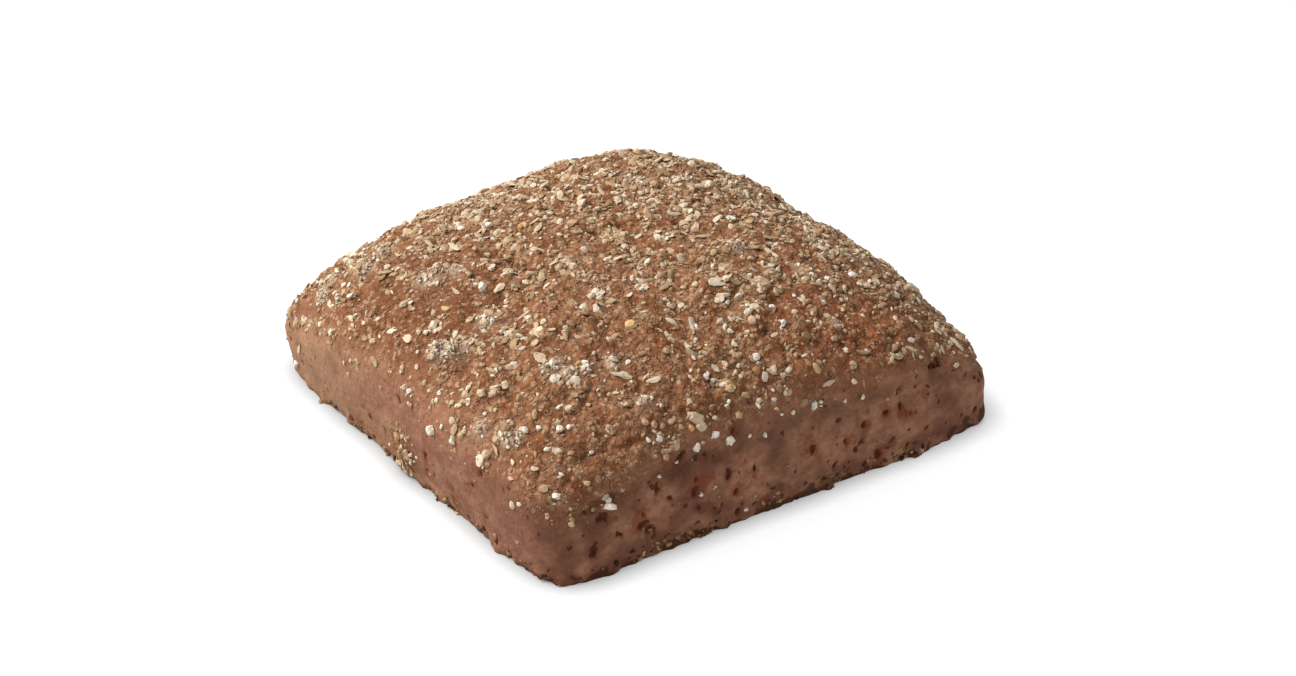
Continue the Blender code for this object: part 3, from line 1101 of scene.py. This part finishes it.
white_sizes = mixed_sizes(WHITE_COUNT, (0.0007, 0.0014), (0.6, 0.95), (0.45, 0.7), 72)
white_bit_sizes = np.repeat(seen_sizes(WHITE_SEEN, 0.85, 0.70), len(WHITE_BITS), axis=0)
white_bit_sizes *= np.tile(WHITE_BITS, len(WHITE_SEEN))[:, None]
white_sizes = np.concatenate((white_bit_sizes, white_sizes))
WHITE_TINTS = (
    (0.00, (0.520, 0.420, 0.310)),
    (0.50, (0.625, 0.545, 0.430)),
    (1.00, (0.720, 0.665, 0.565)),
)
add_meal(
    "white_grits", WHITE_TINTS, white_spots, white_sizes, shell(8, 3), 73,
    sink=0.3, seen=len(white_bits),
)  # fmt: skip

# ---------------------------------------------------------------------------------------------------
# The golden grits. A few cracked kernels keep their outer skin and toast to a warm gold. They lie
# singly among the other meal, and a few stick to the cut walls.

# The golden grits that stand out: across, down and length.
GOLDEN_SEEN = (
    (630, 324, 0.0028), (730, 387, 0.0024), (813, 369, 0.0023), (446, 309, 0.0024), (545, 178, 0.0019),
    (814, 223, 0.0020), (296, 322, 0.0018), (588, 262, 0.0012), (567, 247, 0.0010),
)  # fmt: skip
GOLDEN_COUNT = 170
golden_spots = np.concatenate((spots_seen(GOLDEN_SEEN), strew(GOLDEN_COUNT, meal + 0.04, 81)))
golden_sizes = mixed_sizes(GOLDEN_COUNT, (0.0007, 0.0017), (0.55, 0.9), (0.45, 0.7), 82)
golden_sizes = np.concatenate((seen_sizes(GOLDEN_SEEN, 0.72, 0.5), golden_sizes))
GOLDEN_TINTS = (
    (0.00, (0.360, 0.190, 0.070)),
    (0.50, (0.470, 0.280, 0.120)),
    (1.00, (0.560, 0.380, 0.200)),
)
add_meal(
    "golden_grits", GOLDEN_TINTS, golden_spots, golden_sizes, shell(8, 3), 83, seen=len(GOLDEN_SEEN)
)

# ---------------------------------------------------------------------------------------------------
# The clumps. Here and there wet flour has bound a pinch of fine meal into a small, pale, crumbly heap
# that stands a millimetre proud of the crust.

LOOSE_CLUMPS = 24
LOOSE_CLUMP_CRUMBS = 12
LOOSE_CLUMP_SPREADS = (0.0006, 0.0012)
CLUMP_RISE = 0.0005  # how much higher the crumbs lie at the middle of a clump
CLUMP_ROUNDNESS = 1.2
clump_table = np.array(CLUMPS_SEEN)
clump_draw = np.random.default_rng(91)
clump_centres = np.concatenate((spots_seen(CLUMPS_SEEN), strew(LOOSE_CLUMPS, meal**2, 92)))
clump_spreads = np.append(clump_table[:, 2], clump_draw.uniform(*LOOSE_CLUMP_SPREADS, LOOSE_CLUMPS))
clump_crumbs = np.append(clump_table[:, 3], np.full(LOOSE_CLUMPS, LOOSE_CLUMP_CRUMBS)).astype(int)
crumb_spots = np.repeat(clump_centres, clump_crumbs, axis=0)
crumb_spreads = np.repeat(clump_spreads, clump_crumbs)
crumb_steps = clump_draw.normal(size=crumb_spots.shape)
crumb_spots += crumb_steps * crumb_spreads[:, None] / SHEET_UNIT
crumb_heights = CLUMP_RISE * np.exp(-(crumb_steps**2).sum(axis=1) / CLUMP_ROUNDNESS)
crumb_heights *= clump_draw.uniform(0, 1, len(crumb_spots))
crumb_sizes = mixed_sizes(len(crumb_spots), (0.0005, 0.0012), (0.6, 1.0), (0.40, 0.65), 93)
CLUMP_TINTS = (
    (0.00, (0.410, 0.295, 0.190)),
    (0.35, (0.520, 0.420, 0.305)),
    (1.00, (0.680, 0.610, 0.505)),
)
add_meal(
    "meal_clumps", CLUMP_TINTS, crumb_spots, crumb_sizes, shell(6, 3), 94,
    tilt=0.4, sink=0.42, lift=crumb_heights,
)  # fmt: skip

# ---------------------------------------------------------------------------------------------------
# The crumbs at the foot. Meal that fell on the tray was taken up by the dough's lower edge, where it
# toasted to gold or burned almost black.

FOOT_COUNT = 460
FOOT_RING = 0.95  # they lie past this ring, densest at the foot itself
foot_drifts = ease_between(unevenness(size=0.0060, seed=104), -0.4, 0.6)
foot_cover = ease_between(plain_rings, FOOT_RING, 1.0) * foot_drifts
foot_spots = strew(FOOT_COUNT, foot_cover, 101)
foot_sizes = mixed_sizes(FOOT_COUNT, (0.0005, 0.0019), (0.5, 0.9), (0.45, 0.8), 102)
FOOT_TINTS = (
    (0.00, (0.035, 0.014, 0.008)),
    (0.35, (0.110, 0.045, 0.020)),
    (0.62, (0.230, 0.105, 0.045)),
    (0.85, (0.360, 0.210, 0.095)),
    (1.00, (0.480, 0.340, 0.200)),
)
add_meal("foot_crumbs", FOOT_TINTS, foot_spots, foot_sizes, shell(7, 3), 103, tilt=0.6, sink=0.6)

# ---------------------------------------------------------------------------------------------------
# The studio: a plain pale floor that is lit from within, as on a light table, its glow dimmed near
# the roll as a painted contact shadow, one large soft lamp from the left, and a pale surround that is
# bright only at the horizon.

FLOOR_RADIUS = 6.0
FLOOR_SIDES = 64
floor_points = shell(FLOOR_SIDES, 1)[0][1:-1] * FLOOR_RADIUS * (1, 1, 0)
floor_mesh = make_mesh("floor", floor_points, np.arange(FLOOR_SIDES)[None, :])
floor = bpy.data.objects.new("floor", floor_mesh)
bpy.context.scene.collection.objects.link(floor)

FLOOR_GLOW = 0.90
FLOOR_COLOUR = (0.16, 0.16, 0.16, 1.0)
# Painted shadow: the floor's glow is dimmed near the roll by ambient occlusion, as a contact shadow.
PAINTED_SHADOW_REACH = 0.0048  # the floor is darker this near to the roll
floor_material, maker = start_material("floor")
painted_contact_shadow = maker.node("AmbientOcclusion", {"samples": 8}, {"Distance": PAINTED_SHADOW_REACH})
inputs = {"Base Color": FLOOR_COLOUR, "Roughness": 1.0, "Emission Color": painted_contact_shadow}
shader = maker.node("BsdfPrincipled", {}, {**inputs, "Emission Strength": FLOOR_GLOW})
maker.node("OutputMaterial", {}, {"Surface": shader})
floor_mesh.materials.append(floor_material)

LAMP_POWER = 19.8
LAMP_SIZE = 0.80
LAMP_TURN = radians(167.6)  # from the viewpoint's right, round by its back
LAMP_RISE = radians(48.5)
backward = np.array((sin(VIEW_TURN), cos(VIEW_TURN), 0.0))
lamp_way = (rightward * cos(LAMP_TURN) + backward * sin(LAMP_TURN)) * cos(LAMP_RISE)
lamp_way = lamp_way + np.array((0, 0, sin(LAMP_RISE)))


def aimed(name, data, place, forward, up):
    """An object at a place, looking forward with its up side up."""
    thing = bpy.data.objects.new(name, data)
    axes = np.eye(4)
    axes[:3, :3] = np.stack((np.cross(forward, up), up, -forward), axis=1)
    axes[:3, 3] = place
    thing.matrix_world = Matrix(axes.tolist())
    bpy.context.scene.collection.objects.link(thing)
    return thing


lamp_data = bpy.data.lights.new("lamp", "AREA")
lamp_data.size = LAMP_SIZE
lamp_data.energy = LAMP_POWER
lamp_side = np.cross(lamp_way, (0, 0, 1))
lamp_side /= np.linalg.norm(lamp_side)
aimed("lamp", lamp_data, lamp_way, -lamp_way, np.cross(lamp_side, lamp_way))

HORIZON = (0.95, 0.95, 0.95)
SKY = (0.27, 0.27, 0.27)
surround = bpy.data.worlds.new("surround")
surround.use_nodes = True
surround.node_tree.nodes.clear()
maker = Shade(surround.node_tree)
direction = maker.node("TexCoord", {}, {}, "Generated")
height = maker.node("SeparateXYZ", {}, {0: direction}, "Z")
sky = height.between(0.08, 0.35).blend(HORIZON, SKY)
background = maker.node("Background", {}, {"Color": sky, "Strength": 1.0})
maker.node("OutputWorld", {}, {"Surface": background})
bpy.context.scene.world = surround

camera_data = bpy.data.cameras.new("camera")
camera_data.sensor_width = 36
camera_data.lens = FOCAL_PIXELS * camera_data.sensor_width / VIEW_SIZE[0]
camera_data.clip_start = 0.01
bpy.context.scene.camera = aimed("camera", camera_data, viewpoint, ahead, upward)
bpy.context.scene.view_settings.view_transform = "Standard"
